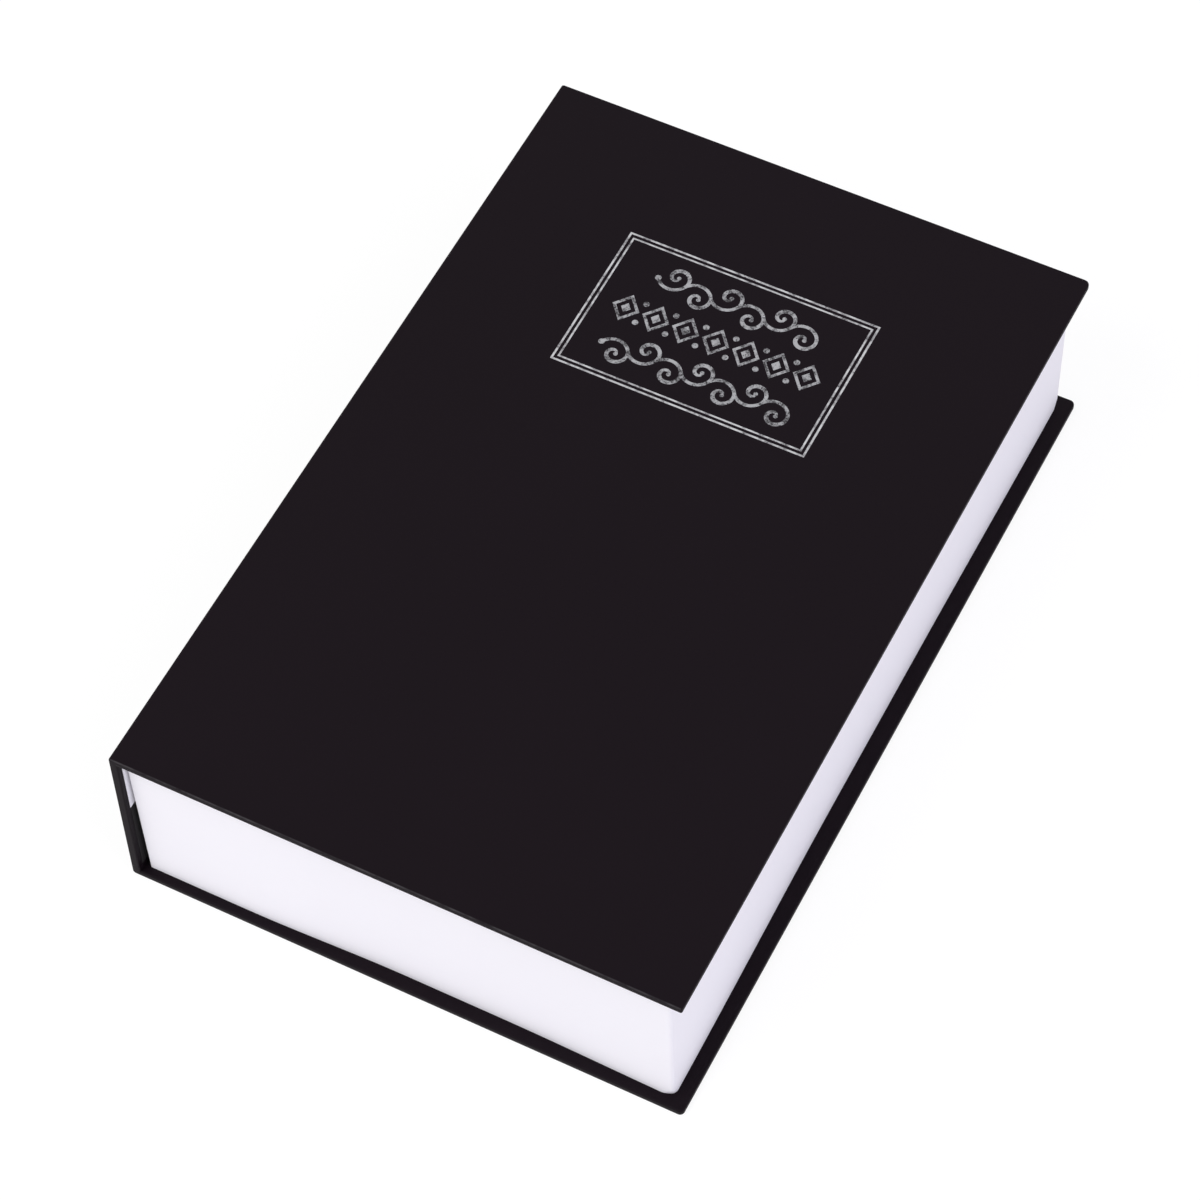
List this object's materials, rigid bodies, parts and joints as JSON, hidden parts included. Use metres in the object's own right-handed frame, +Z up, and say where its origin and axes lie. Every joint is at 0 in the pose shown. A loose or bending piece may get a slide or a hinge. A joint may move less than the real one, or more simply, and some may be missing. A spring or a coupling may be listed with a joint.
{
  "type": "book diversion safe",
  "caption": "Hardcover book that hides a lockable steel tray: the front cover opens on paper hinges over a hinged steel lid with a cam lock.",
  "frame": {"origin": "centre of the back cover's outer face, on which the closed book lies", "axes": "+X from the spine to the fore-edge, +Y from the book's tail to its head, +Z up out of the front cover"},
  "size_m": [0.155, 0.24, 0.054],
  "materials": {
    "cover_wrap": "fine-grained, satin",
    "greyboard": "matte",
    "endpaper": "matte",
    "black_lining": "matte",
    "silver_foil": "hot-stamped foil",
    "page_moulding": "matte",
    "black_steel": "semi-matte powder coat",
    "bright_steel": "zinc-plated",
    "lock_chrome": "polished"
  },
  "bodies": {
    "base": {"back_board": "greyboard", "back_wrap": "cover_wrap", "back_endpaper": "endpaper", "page_block": "page_moulding", "tray": "black_steel", "hinge_leaf_fixed": "black_steel", "hinge_pin": "bright_steel", "tray_rivet_1": "bright_steel", "tray_rivet_2": "bright_steel", "tray_rivet_3": "bright_steel", "tray_rivet_4": "bright_steel", "tray_rivet_5": "bright_steel"},
    "spine": {"spine_board": "greyboard", "spine_wrap": "cover_wrap", "spine_lining": "black_lining", "spine_endpaper": "endpaper"},
    "front_cover": {"front_board": "greyboard", "front_wrap": "cover_wrap", "front_endpaper": "endpaper", "foil_outer_rule": "silver_foil", "foil_inner_rule": "silver_foil"},
    "lid": {"lid": "black_steel", "hinge_leaf_moving": "black_steel", "lid_rivet_1": "bright_steel", "lid_rivet_2": "bright_steel", "lid_rivet_3": "bright_steel", "lid_rivet_4": "bright_steel", "lid_rivet_5": "bright_steel", "lock_body": "lock_chrome", "lock_washer": "bright_steel", "lock_nut": "bright_steel"},
    "lock_plug": {"lock_plug": "lock_chrome", "lock_cam": "bright_steel", "lock_cam_screw": "bright_steel"}
  },
  "joints": [
    {"name": "spine_fold", "type": "hinge", "parent": "base", "child": "spine", "pos_m": [-0.0775, 0, 0], "axis": [0, -1, 0], "range_deg": [0, 90]},
    {"name": "cover_fold", "type": "hinge", "parent": "spine", "child": "front_cover", "pos_m": [-0.0775, 0, 0.054], "axis": [0, -1, 0], "range_deg": [0, 90]},
    {"name": "lid_hinge", "type": "hinge", "parent": "base", "child": "lid", "pos_m": [-0.062, 0, 0.0499], "axis": [0, -1, 0], "range_deg": [0, 90]},
    {"name": "lock_turn", "type": "hinge", "parent": "lid", "child": "lock_plug", "pos_m": [0.05, 0, 0.0498], "axis": [0, 0, -1], "range_deg": [0, 90]}
  ],
  "couplings": [
    {"joint": "lid_hinge", "follows": "cover_fold", "ratio": 1}
  ]
}
